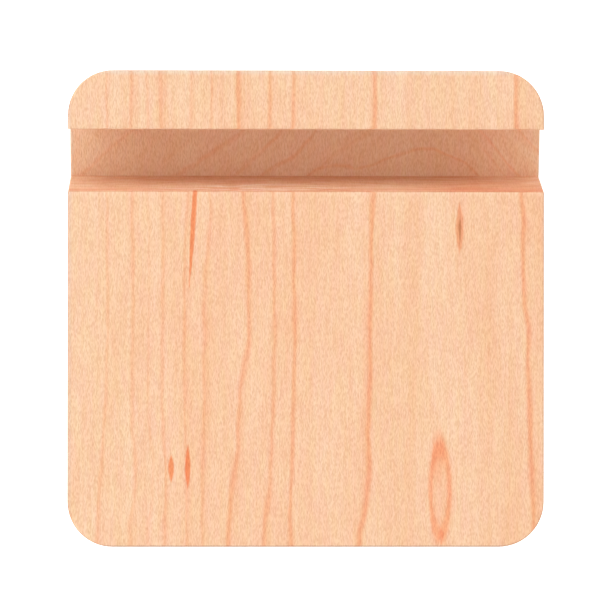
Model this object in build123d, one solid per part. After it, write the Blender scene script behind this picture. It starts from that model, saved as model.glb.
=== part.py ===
from build123d import *
from math import cos, isclose, radians, sin, tan
import os

# Phone stand: a square block of solid maple that lies flat on a desk, with one slanted
# slot across its full width. The phone's lower edge drops into the slot and the phone
# leans back over the wide deck behind it. Four bumper feet are stuck under the block.
#
# Frame: millimetres, +Z up, -Y towards the user, X across the stand. The origin is in
# the middle of the block's outline, on the surface that the feet stand on.

# Block
SIDE = 80.0  # width and depth
THICKNESS = 20.0
CORNER_RADIUS = 7.6  # the four upright corners
EASED_EDGE = 0.3  # sanded rounding of the outer edges

# Slot for the phone
LIP = 10.0  # solid wood left in front of the slot, on the top face
SLOT_WIDTH = 10.0  # square to the slot's walls
SLOT_DEPTH = 11.2  # from the top face to the slot's lowest edge
LEAN = radians(15)  # how far the slot, and so the phone, leans back from upright

# Bumper feet, each a silicone button on a thin disc of adhesive
FOOT_DIAMETER = 8.0
FOOT_HEIGHT = 1.35
FOOT_ROUNDING = 0.6  # the button's lower rim
FOOT_INSET = 12.0  # from the block's sides to the middle of a foot
ADHESIVE_DIAMETER = 7.4
ADHESIVE_THICKNESS = 0.15

# Worked out from the sizes above
BLOCK_BOTTOM = FOOT_HEIGHT + ADHESIVE_THICKNESS
BLOCK_TOP = BLOCK_BOTTOM + THICKNESS
LIP_WALL_Y = LIP - SIDE / 2  # the slot's two walls, where they meet the top face
DECK_WALL_Y = LIP_WALL_Y + SLOT_WIDTH / cos(LEAN)
FOOT_OFFSET = SIDE / 2 - FOOT_INSET
FOOT_PLACES = {
    "front_left": (-FOOT_OFFSET, -FOOT_OFFSET),
    "front_right": (FOOT_OFFSET, -FOOT_OFFSET),
    "rear_left": (-FOOT_OFFSET, FOOT_OFFSET),
    "rear_right": (FOOT_OFFSET, FOOT_OFFSET),
}


def slot_space():
    """Two parallel slanted walls and a floor square to them, past both sides and the top."""
    overrun = 5.0
    overrun_y = overrun * tan(LEAN)
    floor_low_y = DECK_WALL_Y - SLOT_DEPTH * tan(LEAN)
    floor_low_z = BLOCK_TOP - SLOT_DEPTH
    outline = [
        (DECK_WALL_Y + overrun_y, BLOCK_TOP + overrun),
        (floor_low_y, floor_low_z),
        (floor_low_y - SLOT_WIDTH * cos(LEAN), floor_low_z + SLOT_WIDTH * sin(LEAN)),
        (LIP_WALL_Y + overrun_y, BLOCK_TOP + overrun),
    ]
    section = Plane.YZ * make_face(Polyline(*outline, close=True))
    return extrude(section, amount=SIDE / 2 + overrun, both=True)


def is_eased(edge):
    """True for the edges of the top and bottom faces, and at the slot's ends.

    The lip wall's own ends stay crisp, because they run down beside the rounded corners.
    """
    middle = edge.center()
    in_top = isclose(middle.Z, BLOCK_TOP, abs_tol=1e-6)
    in_bottom = isclose(middle.Z, BLOCK_BOTTOM, abs_tol=1e-6)
    in_side = isclose(abs(middle.X), SIDE / 2, abs_tol=1e-6)
    beside_slot = LIP_WALL_Y < middle.Y < DECK_WALL_Y
    return in_top or in_bottom or (in_side and beside_slot)


def make_block():
    """The square block with rounded corners, its slot cut and its edges eased."""
    outline = RectangleRounded(SIDE, SIDE, CORNER_RADIUS)
    blank = Pos(0, 0, BLOCK_BOTTOM) * extrude(outline, amount=THICKNESS)
    block = blank - slot_space()
    return fillet(block.edges().filter_by(is_eased), EASED_EDGE)


def disc(diameter, height):
    """An upright disc that stands on the ground plane."""
    return Cylinder(diameter / 2, height, align=(Align.CENTER, Align.CENTER, Align.MIN))


def make_foot():
    """A silicone button with a flat face to stand on and a rounded lower rim."""
    button = disc(FOOT_DIAMETER, FOOT_HEIGHT)
    lower_rim = button.edges().sort_by(Axis.Z)[0]
    return fillet(lower_rim, FOOT_ROUNDING)


def make_adhesive():
    """The disc of adhesive between a button and the block's underside."""
    return Pos(0, 0, FOOT_HEIGHT) * disc(ADHESIVE_DIAMETER, ADHESIVE_THICKNESS)


nodes = {"block": make_block()}
for place, (x, y) in FOOT_PLACES.items():
    nodes[f"foot_{place}"] = Pos(x, y, 0) * make_foot()
    nodes[f"adhesive_{place}"] = Pos(x, y, 0) * make_adhesive()

os.makedirs("parts", exist_ok=True)
for name, shape in nodes.items():
    export_step(shape, f"parts/{name}.step")
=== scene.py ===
import math

import bpy
from mathutils import Matrix, Vector


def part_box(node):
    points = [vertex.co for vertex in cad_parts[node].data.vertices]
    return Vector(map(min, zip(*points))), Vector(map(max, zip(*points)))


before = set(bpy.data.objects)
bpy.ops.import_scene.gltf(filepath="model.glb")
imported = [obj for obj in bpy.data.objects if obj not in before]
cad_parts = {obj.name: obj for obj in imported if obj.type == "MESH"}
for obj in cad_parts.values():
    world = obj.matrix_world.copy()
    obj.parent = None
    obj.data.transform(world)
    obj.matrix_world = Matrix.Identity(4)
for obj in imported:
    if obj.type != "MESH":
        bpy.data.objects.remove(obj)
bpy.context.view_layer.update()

MM = 0.001

block_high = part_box("block")[1]
TOP = block_high.z
TOP_MM = TOP / MM
HALF_SIDE_MM = block_high.y / MM

# Maple, as linear colours. The tints multiply the plain wood.
PLAIN_WOOD = (0.836, 0.606, 0.425, 1.0)
BROAD_TINT = (0.99, 0.95, 0.91, 1.0)
LATE_WOOD_TINT = (1.0, 0.91, 0.87, 1.0)
RING_TINT = (0.965, 0.76, 0.66, 1.0)
HEARTWOOD_TINT = (1.0, 0.955, 0.94, 1.0)
PINK_TINT = (1.0, 0.95, 0.97, 1.0)
YELLOW_TINT = (0.99, 1.0, 0.94, 1.0)
FLECK_TINT = (0.865, 0.73, 0.675, 1.0)
END_GRAIN_TINT = (0.935, 0.91, 0.905, 1.0)
# Painted shade: the +X side is darkened, because the key light on that side would wash it out.
LIT_SIDE_PAINTED_SHADE_TINT = (0.93, 0.87, 0.85, 1.0)
SAW_MARK_TINT = (0.94, 0.84, 0.79, 1.0)
TORN_TINT = (1.07, 1.37, 1.62, 1.0)
# Painted shade deep in the slot, and painted light where the slot opens at its ends.
SLOT_DEPTH_PAINTED_SHADE_TINT = (1.0, 0.95, 0.93, 1.0)
SLOT_END_PAINTED_LIGHT_TINT = (1.15, 1.17, 1.18, 1.0)
WARM_TINT = (0.97, 0.82, 0.76, 1.0)
# Painted shade on the slot's wide wall near its mouth, and a painted highlight on the deck's rim
# behind the mouth.
MOUTH_WALL_PAINTED_SHADE_TINT = (0.97, 0.84, 0.81, 1.0)
MOUTH_RIM_PAINTED_HIGHLIGHT_TINT = (1.03, 1.05, 1.09, 1.0)
# Painted shade on the eased edges and the +X rim of the slotted face, a painted shadow along its
# rear rim, and a painted highlight along its front rim.
EDGE_PAINTED_SHADE_TINT = (0.86, 0.79, 0.75, 1.0)
LIT_SIDE_RIM_PAINTED_SHADE_TINT = (0.90, 0.92, 1.0, 1.0)
REAR_RIM_PAINTED_SHADOW_TINT = (0.76, 0.80, 0.90, 1.0)
FRONT_RIM_PAINTED_HIGHLIGHT_TINT = (0.94, 1.12, 1.36, 1.0)
STAIN_TINT = (0.96, 0.50, 0.32, 1.0)
ISLAND_TINT = (0.99, 0.68, 0.53, 1.0)
KNOT_EDGE_TINT = (0.93, 0.67, 0.55, 1.0)
KNOT_TINT = (0.70, 0.61, 0.51, 1.0)

SILICONE = (0.68, 0.68, 0.66, 1.0)
SILICONE_CLOUD_TINT = (0.80, 0.81, 0.80, 1.0)
SILICONE_SKIN_TINT = (0.90, 0.90, 0.90, 1.0)
ADHESIVE = (0.62, 0.60, 0.55, 1.0)
ADHESIVE_MOTTLE_TINT = (0.8, 0.78, 0.72, 1.0)
FLOOR_GREY = (0.9, 0.9, 0.9, 1.0)
WHITE = (1.0, 1.0, 1.0, 1.0)

# Lengths from here to the surround are in millimetres. The growth rings are shallow arches over
# a ridge that runs front to back. A ring's height is measured up from the slotted face at the
# ridge, with its strength beside it.
RIDGE_X = -23.7
RIDGE_DRIFT = 0.375
ARCH_RADIUS = 2.0
ARCH_SLOPE = 0.26
RINGS = (
    (13.0, 0.55), (11.9, 0.60), (11.2, 0.35), (10.6, 0.60), (9.5, 0.55), (8.7, 0.60),
    (7.2, 0.85), (5.9, 0.75), (5.0, 0.90), (1.9, 1.00), (0.6, 0.10),
    (-1.0, 0.20), (-2.5, 0.40), (-4.6, 0.50), (-6.1, 0.40), (-7.9, 0.55),
    (-8.5, 0.30), (-9.9, 0.45), (-11.5, 0.45), (-13.0, 0.55), (-14.6, 0.40), (-16.2, 0.55),
    (-17.6, 0.45), (-19.1, 0.60),
)
RING_HALF_WIDTH = 0.17
# The soft band beside a ring's line lies on its lower side, except at the one strong ring
# nearest the ridge. It reaches past the line to the other side by a share of its width.
SOFT_BAND_WIDTH = 0.38
SOFT_BAND_OVERLAP = 0.2
TURNED_RING = 1.9

# How far the rings bend towards -X at places across the block, from the front edge by way of
# the middle to the rear edge.
FRONT_Y = -37.0
MIDDLE_Y = (-3.0, 8.0)
REAR_Y = 42.0
FRONT_BENDS = (
    (-35.3, -1.4), (-11.6, 0.8), (2.3, -0.2), (11.5, -0.6), (15.9, 0.9), (19.4, 0.5),
    (24.5, -0.4), (33.5, 0.0),
)
MIDDLE_BENDS = (
    (-36.6, 0.8), (-10.8, 0.0), (2.1, 0.1), (5.3, 0.4), (9.7, 1.2), (17.0, -0.3), (20.4, -0.5),
    (24.0, 0.1), (33.4, 0.1),
)
REAR_BENDS = (
    (-39.0, 1.7), (-9.1, -1.8), (2.6, -0.5), (7.0, -1.5), (13.2, -2.4), (17.4, -0.7),
    (23.5, 0.5), (29.5, -0.4), (34.9, -1.6),
)

# Places where the rings swerve: centre in x and y, half sizes, and how far they go towards -X.
SWERVES = (
    ((27.5, 28.0), (6.0, 9.0), 0.80),
    ((-10.1, 29.0), (4.5, 9.0), 0.75),
    ((10.4, 15.0), (3.0, 10.0), -0.75),
    ((-36.8, -6.0), (4.0, 9.0), -0.70),
    ((16.8, -13.0), (2.6, 8.0), 0.45),
    ((5.4, 29.0), (3.0, 9.0), 0.40),
)

# Wavy rings deep in the wood, which show on the slot's floor only: half thickness, strength,
# and the places in x with the depth there.
DEEP_RINGS = (
    (0.22, 0.60, ((7.0, 8.2), (11.6, 9.4), (19.1, 10.7), (25.0, 11.7))),
    (0.22, 0.60, ((1.5, 8.2), (5.1, 9.5), (9.0, 10.5), (14.0, 11.7))),
    (0.20, 0.65, ((-4.0, 8.2), (-0.9, 9.5), (2.0, 10.4), (5.1, 10.75), (10.0, 11.7))),
    (0.13, 0.72, (
        (-32.0, 11.8), (-29.0, 11.0), (-27.6, 10.65), (-24.8, 10.3), (-21.9, 9.97), (-19.1, 9.97),
        (-15.1, 10.3), (-12.0, 10.65), (-8.9, 10.85), (-4.8, 10.7), (-2.0, 10.85), (2.0, 11.8),
    )),
)

# How far the wood has turned to darker heartwood, from the -X side to the +X side.
HEARTWOOD = (
    (-40.0, 0.9), (-26.0, 0.9), (-17.0, 0.45), (-9.0, 0.9), (14.0, 1.0), (23.0, 0.7), (32.0, 0.0),
    (40.0, 0.0),
)

# Each spindle is a long pointed shape: centre, half sizes, and its lean in x per unit of y.
ORANGE_STAINS = (
    ((18.85, -16.0, TOP_MM), (0.50, 13.6, 1.2), 0.06),
    ((22.6, 26.8, TOP_MM), (0.55, 2.6, 1.8), 0.0),
    ((19.8, 26.6, TOP_MM), (0.55, 4.0, 2.0), 0.0),
    ((-22.7, 38.2, TOP_MM - 1.3), (1.7, 3.0, 1.5), 0.0),
    ((-28.2, -13.7, TOP_MM - 1.4), (1.0, 1.4, 1.5), 0.0),
)
KNOT_EDGE = ((-25.8, -13.6, TOP_MM), (0.76, 4.6, 2.6), 0.0)
KNOT = ((-25.85, -13.4, TOP_MM), (0.30, 2.5, 2.2), 0.0)
# A ring that only just reaches the slotted face, and shows there as an oval island.
ISLAND_CENTRE = (-22.55, 30.6, TOP_MM)
ISLAND_HALF_SIZES = (1.62, 7.4, 2.0)
ISLAND_TIP = ((-22.3, 24.6, TOP_MM), (1.5, 6.2, 1.5), 0.0)
# A warmer patch on the slot's wide wall, close to the wood over the ridge.
WARM_PATCH = ((-31.0, -21.0, TOP_MM - 2.5), (15.0, 6.0, 4.5), 0.0)
# Where the cutter tore a few pale fibres out of the slot's wide wall.
TORN_PATCH = ((8.0, -21.0, TOP_MM - 2.2), (18.0, 8.0, 4.2), 0.0)

# Each pair is where a mask starts, and where it has its full strength. These tell the slot from
# the deck and the underside, its depths from its mouth, its front half from its rear half, and
# its walls from the block's own front and rear faces.
SLOT_Y = (-17.0, -19.0)
SLOT_Z = (TOP_MM - 14.0, TOP_MM - 12.5)
DEEP_Z = (TOP_MM - 3.0, TOP_MM - 7.0)
NEAR_TOP_Z = (TOP_MM - 3.5, TOP_MM - 1.0)
AT_TOP_Z = (TOP_MM - 1.0, TOP_MM - 0.5)
FRONT_HALF_Y = (-24.0, -26.0)
REAR_HALF_Y = (-26.0, -24.0)
INSIDE_Y = (HALF_SIDE_MM - 2.0, HALF_SIDE_MM - 4.0)

# The same for the rims of the slotted face that carry painted shade, a painted shadow or a
# painted
# highlight: at the +X side, the rear, the front, and along the rear edge of the slot's mouth.
LIT_SIDE_SHADED_RIM_X = (HALF_SIDE_MM - 0.8, HALF_SIDE_MM - 0.2)
REAR_SHADOW_RIM_Y = (HALF_SIDE_MM - 0.35, HALF_SIDE_MM - 0.1)
FRONT_HIGHLIGHT_RIM_Y = (1.1 - HALF_SIDE_MM, -HALF_SIDE_MM)
MOUTH_HIGHLIGHT_RIM_Y = (-18.6, -19.3)

# The surround's strength by height, from straight below (-1) to straight above (1), and how
# much it grows towards +X and towards the front.
SURROUND = (
    (-1.0, 0.65), (-0.3, 0.75), (0.0, 1.4), (0.15, 1.6), (0.38, 2.05), (0.64, 2.05), (0.8, 0.11),
    (1.0, 0.11),
)
SURROUND_GAIN_X = 0.27
SURROUND_GAIN_FRONT = 0.18

# The key light's angle above the floor, and then metres and watts.
KEY_HEIGHT = math.radians(57)
KEY_DISTANCE = 1.0
KEY_SIZE = 0.6
KEY_ENERGY = 2.0

# The camera stands over this place, this far above the slotted face, in metres, and is turned
# by two small angles. Its sensor and lens are in millimetres.
CAMERA_X = 11.5 * MM
CAMERA_Y = -1.45 * MM
CAMERA_DISTANCE = 0.626
CAMERA_YAW = math.radians(0.96)
CAMERA_ROLL = math.radians(0.06)
CAMERA_SENSOR = 36.0
CAMERA_LENS = 223.8

# Half the floor's side, in metres.
FLOOR_REACH = 3.0

# Where a colour Mix node keeps its two colours and its result.
COLOUR_A = 6
COLOUR_B = 7
COLOUR_RESULT = 2


class Number:
    """A number in a node tree, so that shader maths reads as plain arithmetic."""

    def __init__(self, tree, socket):
        self.tree = tree
        self.socket = socket

    def maths(self, operation, *others):
        node = self.tree.nodes.new("ShaderNodeMath")
        node.operation = operation
        for socket, value in zip(node.inputs, (self, *others)):
            plug(self.tree, value, socket)
        return Number(self.tree, node.outputs[0])

    def __add__(self, other):
        return self.maths("ADD", other)

    def __sub__(self, other):
        return self.maths("SUBTRACT", other)

    def __mul__(self, other):
        return self.maths("MULTIPLY", other)

    def __truediv__(self, other):
        return self.maths("DIVIDE", other)

    def __abs__(self):
        return self.maths("ABSOLUTE")

    def squared(self):
        return self.maths("MULTIPLY", self)

    def root(self):
        return self.maths("SQRT")

    def smaller(self, other):
        return self.maths("MINIMUM", other)

    def larger(self, other):
        return self.maths("MAXIMUM", other)

    def step(self, start, end, before=0.0, after=1.0):
        """Goes smoothly from one value, before the start, to another, after the end."""
        node = self.tree.nodes.new("ShaderNodeMapRange")
        node.interpolation_type = "SMOOTHSTEP"
        plug(self.tree, self, node.inputs["Value"])
        node.inputs["From Min"].default_value = start
        node.inputs["From Max"].default_value = end
        node.inputs["To Min"].default_value = before
        node.inputs["To Max"].default_value = after
        return Number(self.tree, node.outputs["Result"])


def plug(tree, value, socket):
    """Links a number to a socket, or sets a plain one on it."""
    if isinstance(value, Number):
        tree.links.new(value.socket, socket)
    else:
        socket.default_value = value


def three_numbers(tree, socket):
    """The three parts of a vector."""
    node = tree.nodes.new("ShaderNodeSeparateXYZ")
    tree.links.new(socket, node.inputs[0])
    return [Number(tree, output) for output in node.outputs]


def curve_through(tree, number, points):
    """Follows straight lines through the points, which run from low to high."""
    node = tree.nodes.new("ShaderNodeFloatCurve")
    mapping = node.mapping
    mapping.clip_min_x = points[0][0]
    mapping.clip_max_x = points[-1][0]
    mapping.clip_min_y = min(height for _, height in points)
    mapping.clip_max_y = max(height for _, height in points)
    line = mapping.curves[0]
    line.points[0].location = points[0]
    line.points[1].location = points[-1]
    for point in points[1:-1]:
        line.points.new(*point)
    for point in line.points:
        point.handle_type = "VECTOR"
    mapping.update()
    plug(tree, number, node.inputs["Value"])
    return Number(tree, node.outputs["Value"])


def texture_node(tree, kind, place, cell, shift):
    """A texture whose cells have the given three sizes, moved along by a number of cells."""
    combined = tree.nodes.new("ShaderNodeCombineXYZ")
    for number, size, socket in zip(place, cell, combined.inputs):
        plug(tree, number / size + shift, socket)
    node = tree.nodes.new(kind)
    node.inputs["Scale"].default_value = 1.0
    tree.links.new(combined.outputs[0], node.inputs["Vector"])
    return node


def noise(tree, place, cell, detail=0.0, shift=0.0):
    """Smooth noise, about 0 to 1."""
    node = texture_node(tree, "ShaderNodeTexNoise", place, cell, shift)
    node.inputs["Detail"].default_value = detail
    return Number(tree, node.outputs["Fac"])


def specks(tree, place, cell, shift=0.0):
    """Distance to the nearest of many scattered points, one in each cell."""
    node = texture_node(tree, "ShaderNodeTexVoronoi", place, cell, shift)
    return Number(tree, node.outputs["Distance"])


def tinted(tree, colour, tint, amount):
    """Multiplies a colour by a tint, by an amount from 0 to 1."""
    node = tree.nodes.new("ShaderNodeMix")
    node.data_type = "RGBA"
    node.blend_type = "MULTIPLY"
    plug(tree, amount, node.inputs["Factor"])
    if isinstance(colour, tuple):
        node.inputs[COLOUR_A].default_value = colour
    else:
        tree.links.new(colour, node.inputs[COLOUR_A])
    node.inputs[COLOUR_B].default_value = tint
    return node.outputs[COLOUR_RESULT]


def new_material(name):
    """A material with its tree and shader, and the surface's place (in mm) and direction.

    The CAD nodes stay at the origin, so that their own coordinates are the shared frame's.
    """
    material = bpy.data.materials.new(name)
    material.use_nodes = True
    tree = material.node_tree
    shader = tree.nodes["Principled BSDF"]
    coordinates = tree.nodes.new("ShaderNodeTexCoord")
    place = [number / MM for number in three_numbers(tree, coordinates.outputs["Object"])]
    facing = three_numbers(tree, coordinates.outputs["Normal"])
    return material, tree, shader, place, facing


def add_bump(tree, shader, height, distance):
    """Raises the surface by a height of 0 to 1 times a distance in metres."""
    node = tree.nodes.new("ShaderNodeBump")
    node.inputs["Distance"].default_value = distance
    plug(tree, height, node.inputs["Height"])
    tree.links.new(node.outputs["Normal"], shader.inputs["Normal"])


def spindle_reach(place, spindle):
    """0 along the middle of a long pointed shape, and 1 on its outside."""
    centre, half_sizes, lean = spindle
    x, y, z = place
    along = y - centre[1]
    side = abs(x - centre[0] - along * lean) / half_sizes[0]
    return side + (along / half_sizes[1]).squared() + ((z - centre[2]) / half_sizes[2]).squared()


def oval_reach(place, centre, half_sizes):
    """0 at the middle of an oval, and 1 on its outside."""
    parts = []
    for number, middle, half_size in zip(place, centre, half_sizes):
        parts.append(((number - middle) / half_size).squared())
    return sum(parts[1:], parts[0])


def ring_field(tree, place):
    """Height above the slotted face of the growth ring that passes through a place."""
    x, y, z = place
    depth = z * -1.0 + TOP_MM
    front, middle, rear = (
        curve_through(tree, x, bends) for bends in (FRONT_BENDS, MIDDLE_BENDS, REAR_BENDS)
    )
    bend = middle + (front - middle) * y.step(MIDDLE_Y[0], FRONT_Y)
    bend = bend + (rear - middle) * y.step(MIDDLE_Y[1], REAR_Y)
    for centre, half_sizes, amount in SWERVES:
        bend = bend + oval_reach((x, y), centre, half_sizes).step(1.0, 0.0, after=amount)
    slow = noise(tree, place, cell=(11.0, 26.0, 16.0), detail=1.0, shift=3.1)
    quick = noise(tree, place, cell=(3.0, 5.0, 5.0), detail=1.5, shift=7.7)
    wobble = (slow - 0.5) * (depth * 0.4 + 0.5) + (quick - 0.5) * 0.7
    across = x - RIDGE_X - depth * RIDGE_DRIFT + bend + wobble
    arch = ((across * ARCH_SLOPE).squared() + ARCH_RADIUS**2).root() - ARCH_RADIUS
    return arch - depth


def ring_lines(tree, field, patchy):
    """The thin dark line that ends each year's growth."""
    nearest = None
    for height, strength in RINGS:
        away = abs(field - height)
        nearest = away if nearest is None else nearest.smaller(away)
    strength = curve_through(tree, field, sorted(RINGS))
    width = (patchy * 1.3 + 0.25) * (strength * 0.6 + 0.5)
    return (nearest / width).step(RING_HALF_WIDTH, 0.0) * strength


def late_wood(tree, field):
    """The soft darker band beside each ring's line."""
    points = []
    for height, strength in RINGS:
        reach = SOFT_BAND_WIDTH if height == TURNED_RING else -SOFT_BAND_WIDTH
        points.append((height - reach * SOFT_BAND_OVERLAP, 0.0))
        points.append((height, strength))
        points.append((height + reach, 0.0))
    return curve_through(tree, field, sorted(points))


def deep_lines(tree, place, patchy):
    """The lines of the wavy rings, by how far below the slotted face they are."""
    x, _, z = place
    depth = z * -1.0 + TOP_MM + (patchy - 0.5) * 0.25
    darkest = None
    for half_thickness, strength, points in DEEP_RINGS:
        away = abs(curve_through(tree, x, points) - depth)
        line = away.step(half_thickness, 0.0, after=strength)
        darkest = line if darkest is None else darkest.larger(line)
    return darkest * patchy.step(0.25, 0.6, before=0.6)


def slot_masks(place, facing, end_grain):
    """Where the slot's two wide walls are, the deeper part of the slot, and its floor."""
    _, y, z = place
    inside = abs(y).step(*INSIDE_Y)
    in_slot = y.step(*SLOT_Y) * z.step(*SLOT_Z) * abs(facing[0]).step(0.9, 0.3)
    sawn = end_grain * inside
    deep_in_slot = z.step(*DEEP_Z) * inside * in_slot
    return sawn, deep_in_slot, deep_in_slot * facing[2].step(0.5, 0.9)


def tint_growth(tree, place, slot_floor):
    """The slow figure of the wood: broad bands, growth rings, and heartwood."""
    x, y, _ = place
    field = ring_field(tree, place)
    patchy = noise(tree, place, cell=(2.2, 7.0, 2.2), detail=1.0, shift=5.3)
    growth = noise(tree, (field, y, x), cell=(0.55, 70.0, 25.0), detail=1.0, shift=2.6)
    broad = noise(tree, place, cell=(6.0, 45.0, 8.0), detail=1.0, shift=8.2)
    # On most of the slot's floor the wavy lines take the place of these.
    share = slot_floor * x.step(-33.0, -27.0, after=-0.85) + 1.0
    lines = ring_lines(tree, field, patchy) * share
    heartwood = curve_through(tree, x, HEARTWOOD) * y.step(-36.0, -26.0, before=0.4)

    colour = tinted(tree, PLAIN_WOOD, BROAD_TINT, broad.step(0.3, 0.75))
    colour = tinted(tree, colour, BROAD_TINT, growth.step(0.3, 0.7))
    colour = tinted(tree, colour, LATE_WOOD_TINT, late_wood(tree, field))
    colour = tinted(tree, colour, RING_TINT, lines)
    colour = tinted(tree, colour, RING_TINT, deep_lines(tree, place, patchy) * slot_floor)
    return tinted(tree, colour, HEARTWOOD_TINT, heartwood)


def tint_flecks(tree, colour, place, facing, flecks, fibres):
    """The fine figure of the wood: pink and yellow clouds, flecks, and fibres."""
    pink = noise(tree, place, cell=(1.6, 7.0, 4.0), detail=1.0, shift=9.3)
    yellow = noise(tree, place, cell=(1.1, 5.0, 3.0), detail=1.0, shift=12.7)
    dashes = specks(tree, place, cell=(0.16, 0.7, 3.5), shift=2.3).step(0.55, 0.1)
    on_sides = abs(facing[0]).step(0.3, 0.9, before=1.0, after=0.25)
    on_ends = abs(facing[1]).step(0.3, 0.9, before=1.0, after=0.6)
    strength = on_sides * on_ends

    colour = tinted(tree, colour, PINK_TINT, pink.step(0.35, 0.65))
    colour = tinted(tree, colour, YELLOW_TINT, yellow.step(0.35, 0.65))
    colour = tinted(tree, colour, FLECK_TINT, flecks * 0.72 * strength)
    colour = tinted(tree, colour, FLECK_TINT, dashes * 0.45 * strength)
    return tinted(tree, colour, BROAD_TINT, fibres.step(0.7, 0.3))


def tint_slot(tree, colour, place, sawn, deep_in_slot):
    """Cutter marks, torn fibres and warmer wood in the slot, painted shade in its depths and by
    its mouth, and painted light at its ends.
    """
    x, y, z = place
    saw_marks = noise(tree, place, cell=(6.0, 9.0, 1.0), detail=2.0, shift=6.6).step(0.4, 0.62)
    torn = noise(tree, place, cell=(5.0, 3.0, 0.6), detail=1.0, shift=14.2).step(0.46, 0.60)
    torn_patch = spindle_reach(place, TORN_PATCH).step(1.2, 0.3)
    warm_patch = spindle_reach(place, WARM_PATCH).step(1.3, 0.3)
    lit_near_ends = x.step(-20.0, -36.0, after=0.6) + x.step(24.0, 38.0, after=0.2)
    shaded_near_mouth = z.step(*NEAR_TOP_Z) * y.step(*REAR_HALF_Y)

    colour = tinted(tree, colour, SAW_MARK_TINT, sawn * saw_marks)
    colour = tinted(tree, colour, TORN_TINT, sawn * torn * torn_patch)
    # Painted shade: the deeper part of the slot is darker and warmer.
    colour = tinted(tree, colour, SLOT_DEPTH_PAINTED_SHADE_TINT, deep_in_slot)
    # Painted light: the deep slot is paler towards its open ends, more so at -X.
    colour = tinted(tree, colour, SLOT_END_PAINTED_LIGHT_TINT, deep_in_slot * lit_near_ends)
    colour = tinted(tree, colour, WARM_TINT, sawn * warm_patch)
    # Painted shade on the wide wall close to the slot's mouth.
    return tinted(tree, colour, MOUTH_WALL_PAINTED_SHADE_TINT, sawn * shaded_near_mouth)


def paint_edge_light_and_shade(tree, colour, place, facing):
    """Painted shade on the eased edges and the top's +X rim, a painted shadow on its rear rim,
    and painted highlights on its front rim and behind the mouth.
    """
    x, y, z = place
    upward = abs(facing[2])
    shaded_eased_edges = upward.step(0.35, 0.6) * upward.step(0.95, 0.85)
    lip_edge = y.step(*FRONT_HALF_Y) * facing[1].step(0.0, 0.3)
    top = facing[2].step(0.2, 0.5)
    mouth_rim_highlight = y.step(*MOUTH_HIGHLIGHT_RIM_Y) * y.step(*REAR_HALF_Y) * facing[2].step(0.9, 0.99)

    # Painted shade: the eased edges are a little darker, except the lip's edge at the mouth.
    colour = tinted(tree, colour, EDGE_PAINTED_SHADE_TINT, shaded_eased_edges * (lip_edge * -1.0 + 1.0))
    # Painted shade along the +X rim of the top, which faces the key light.
    colour = tinted(tree, colour, LIT_SIDE_RIM_PAINTED_SHADE_TINT, top * x.step(*LIT_SIDE_SHADED_RIM_X))
    # Painted shadow: a dark line along the rear rim of the top, as where the block stands on that
    # edge.
    colour = tinted(tree, colour, REAR_RIM_PAINTED_SHADOW_TINT, top * y.step(*REAR_SHADOW_RIM_Y))
    # Painted highlight: a pale, cooler sheen along the front rim of the top.
    colour = tinted(tree, colour, FRONT_RIM_PAINTED_HIGHLIGHT_TINT, top * y.step(*FRONT_HIGHLIGHT_RIM_Y))
    # Painted highlight along the deck's rim just behind the slot's mouth.
    return tinted(tree, colour, MOUTH_RIM_PAINTED_HIGHLIGHT_TINT, mouth_rim_highlight * z.step(*AT_TOP_Z))


def tint_marks(tree, colour, place):
    """The orange stains, the island, and the brown bark pocket, all with ragged outlines."""
    ragged = (noise(tree, place, cell=(0.4, 1.6, 0.8), detail=1.0, shift=6.1) - 0.5) * 0.5
    for stain in ORANGE_STAINS:
        stained = (spindle_reach(place, stain) + ragged).step(1.15, 0.5)
        colour = tinted(tree, colour, STAIN_TINT, stained)

    island = oval_reach(place, ISLAND_CENTRE, ISLAND_HALF_SIZES) + ragged * 1.1
    outline = abs(island - 1.0)
    island_tip = (spindle_reach(place, ISLAND_TIP) + ragged).step(1.2, 0.2)
    colour = tinted(tree, colour, ISLAND_TINT, outline.step(0.75, 0.05) * 0.75)
    colour = tinted(tree, colour, ISLAND_TINT, outline.step(1.3, 0.3) * 0.25)
    colour = tinted(tree, colour, ISLAND_TINT, island.step(1.1, 0.8) * 0.15)
    colour = tinted(tree, colour, ISLAND_TINT, island_tip * 0.4)

    knot_edge = (spindle_reach(place, KNOT_EDGE) + ragged).step(1.15, 0.6)
    knot = (spindle_reach(place, KNOT) + ragged).step(1.1, 0.4)
    colour = tinted(tree, colour, KNOT_EDGE_TINT, knot_edge)
    return tinted(tree, colour, KNOT_TINT, knot)


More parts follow.
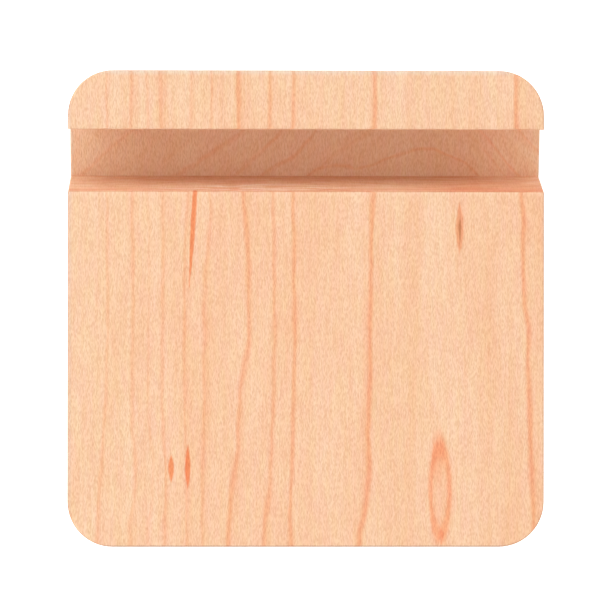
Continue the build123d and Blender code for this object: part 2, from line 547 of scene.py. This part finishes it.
def make_maple():
    """Solid maple: one 3-D figure, so faces, slot, edges and end grain all agree."""
    material, tree, shader, place, facing = new_material("solid_maple")
    end_grain = abs(facing[1]).step(0.55, 0.9)
    sawn, deep_in_slot, slot_floor = slot_masks(place, facing, end_grain)
    flecks = noise(tree, place, cell=(0.125, 0.65, 3.2), detail=0.0, shift=1.9).step(0.66, 0.24)
    fibres = noise(tree, place, cell=(0.3, 12.0, 0.5), detail=1.0, shift=4.4)

    colour = tint_growth(tree, place, slot_floor)
    colour = tint_flecks(tree, colour, place, facing, flecks, fibres)
    colour = tinted(tree, colour, END_GRAIN_TINT, end_grain)
    # Painted shade on the +X side, which faces the key light.
    colour = tinted(tree, colour, LIT_SIDE_PAINTED_SHADE_TINT, facing[0].step(0.2, 0.9))
    # The slot gets painted shade and painted light as well as its own marks.
    colour = tint_slot(tree, colour, place, sawn, deep_in_slot)
    # Painted shade, shadow and highlights along the edges and rims.
    colour = paint_edge_light_and_shade(tree, colour, place, facing)
    colour = tint_marks(tree, colour, place)
    tree.links.new(colour, shader.inputs["Base Color"])

    plug(tree, fibres * 0.12 + 0.5 + end_grain * 0.1, shader.inputs["Roughness"])
    shader.inputs["Specular IOR Level"].default_value = 0.3
    add_bump(tree, shader, flecks + fibres * 0.6, 0.02 * MM)
    return material


def make_silicone():
    """Milky silicone with a fine satin skin, and a little cloudier in places."""
    material, tree, shader, place, _ = new_material("moulded_silicone")
    skin = noise(tree, place, cell=(0.12, 0.12, 0.12), detail=2.0)
    clouds = noise(tree, place, cell=(1.6, 1.6, 0.8), detail=2.0, shift=3.7)
    colour = tinted(tree, SILICONE, SILICONE_CLOUD_TINT, clouds.step(0.3, 0.7))
    colour = tinted(tree, colour, SILICONE_SKIN_TINT, skin)
    tree.links.new(colour, shader.inputs["Base Color"])
    plug(tree, skin * 0.2 + 0.32, shader.inputs["Roughness"])
    shader.inputs["Subsurface Weight"].default_value = 0.4
    shader.inputs["Subsurface Radius"].default_value = (1.0, 1.0, 0.9)
    shader.inputs["Subsurface Scale"].default_value = 0.8 * MM
    add_bump(tree, shader, skin, 0.01 * MM)
    return material


def make_adhesive():
    """Thin milky film of acrylic glue."""
    material, tree, shader, place, _ = new_material("acrylic_film")
    mottle = noise(tree, place, cell=(0.5, 0.5, 0.5), detail=3.0)
    colour = tinted(tree, ADHESIVE, ADHESIVE_MOTTLE_TINT, mottle)
    tree.links.new(colour, shader.inputs["Base Color"])
    plug(tree, mottle * 0.2 + 0.3, shader.inputs["Roughness"])
    add_bump(tree, shader, mottle, 0.01 * MM)
    return material


def finish_nodes():
    """Gives every CAD node the material for what it is made of."""
    materials = {
        "block": make_maple(),
        "foot": make_silicone(),
        "adhesive": make_adhesive(),
    }
    for name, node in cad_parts.items():
        kind = name.split("_")[0]
        for material_slot in node.material_slots:
            material_slot.material = materials[kind]


def add_camera():
    """Looks straight down at the slotted face, with the narrow lip at the top of the frame."""
    data = bpy.data.cameras.new("camera")
    data.sensor_width = CAMERA_SENSOR
    data.lens = CAMERA_LENS
    data.clip_start = 0.01
    data.clip_end = 10.0
    camera = bpy.data.objects.new("camera", data)
    bpy.context.scene.collection.objects.link(camera)
    place = Vector((CAMERA_X, CAMERA_Y, TOP + CAMERA_DISTANCE))
    facing = Matrix(((-1, 0, 0), (0, -1, 0), (0, 0, 1)))
    turned = Matrix.Rotation(CAMERA_YAW, 3, "Y") @ facing @ Matrix.Rotation(CAMERA_ROLL, 3, "Z")
    camera.matrix_world = Matrix.Translation(place) @ turned.to_4x4()
    bpy.context.scene.camera = camera


def add_see_through_back(tree, shader):
    """Lets the underside of the object show through the back of a surface."""
    geometry = tree.nodes.new("ShaderNodeNewGeometry")
    clear = tree.nodes.new("ShaderNodeBsdfTransparent")
    either = tree.nodes.new("ShaderNodeMixShader")
    tree.links.new(geometry.outputs["Backfacing"], either.inputs["Fac"])
    tree.links.new(shader.outputs["BSDF"], either.inputs[1])
    tree.links.new(clear.outputs["BSDF"], either.inputs[2])
    tree.links.new(either.outputs["Shader"], tree.nodes["Material Output"].inputs["Surface"])


def make_floor_material():
    """Matt white that glows a little, so that it stays white up to the horizon."""
    material = bpy.data.materials.new("white_sweep")
    material.use_nodes = True
    shader = material.node_tree.nodes["Principled BSDF"]
    shader.inputs["Base Color"].default_value = FLOOR_GREY
    shader.inputs["Roughness"].default_value = 0.9
    shader.inputs["Emission Color"].default_value = WHITE
    shader.inputs["Emission Strength"].default_value = 0.6
    add_see_through_back(material.node_tree, shader)
    return material


def add_floor():
    """Wide white floor, seen from above only. The surround gives the light it would bounce."""
    corners = [
        (-FLOOR_REACH, -FLOOR_REACH, 0),
        (FLOOR_REACH, -FLOOR_REACH, 0),
        (FLOOR_REACH, FLOOR_REACH, 0),
        (-FLOOR_REACH, FLOOR_REACH, 0),
    ]
    mesh = bpy.data.meshes.new("floor")
    mesh.from_pydata(corners, [], [(0, 1, 2, 3)])
    mesh.materials.append(make_floor_material())
    floor = bpy.data.objects.new("floor", mesh)
    bpy.context.scene.collection.objects.link(floor)
    floor.visible_diffuse = False
    floor.visible_glossy = False
    floor.visible_shadow = False


def add_surround():
    """Soft light from all round, rather more from the +X side, and little from straight above."""
    world = bpy.data.worlds.new("surround")
    bpy.context.scene.world = world
    world.use_nodes = True
    tree = world.node_tree
    coordinates = tree.nodes.new("ShaderNodeTexCoord")
    across, along, height = three_numbers(tree, coordinates.outputs["Generated"])
    gain = across * SURROUND_GAIN_X - along * SURROUND_GAIN_FRONT + 1.0
    strength = curve_through(tree, height, SURROUND) * gain
    plug(tree, strength, tree.nodes["Background"].inputs["Strength"])
    tree.nodes["Background"].inputs["Color"].default_value = WHITE


def add_key_light():
    """Large softbox, high up on the +X side."""
    data = bpy.data.lights.new("key", "AREA")
    data.shape = "SQUARE"
    data.size = KEY_SIZE
    data.energy = KEY_ENERGY
    light = bpy.data.objects.new("key", data)
    bpy.context.scene.collection.objects.link(light)
    place = Vector((math.cos(KEY_HEIGHT), 0.0, math.sin(KEY_HEIGHT))) * KEY_DISTANCE
    light.location = place
    light.rotation_euler = place.to_track_quat("Z", "Y").to_euler()


add_camera()
add_floor()
add_surround()
add_key_light()
finish_nodes()
bpy.context.scene.view_settings.view_transform = "Standard"
